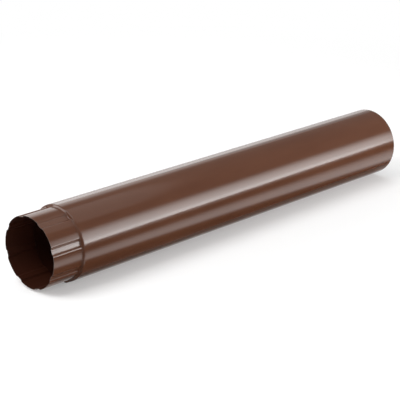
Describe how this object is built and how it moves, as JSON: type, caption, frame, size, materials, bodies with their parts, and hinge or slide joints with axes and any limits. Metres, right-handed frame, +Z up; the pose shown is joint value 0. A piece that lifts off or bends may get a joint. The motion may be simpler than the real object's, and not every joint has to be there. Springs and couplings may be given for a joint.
{
  "type": "metal downpipe",
  "caption": "Round sheet-metal rainwater downpipe, one metre long, with a plain end and a stepped, fluted spigot that slides into the next pipe.",
  "frame": {"origin": "middle of the floor rectangle that the lying pipe covers, at floor level", "axes": "+X along the pipe, from the fluted spigot to the plain end; +Z up"},
  "size_m": [1, 0.15, 0.15],
  "materials": {
    "coated_sheet": "glossy chocolate-brown coil coating, darker inside"
  },
  "bodies": {
    "root": {"downpipe": "coated_sheet"}
  },
  "joints": []
}
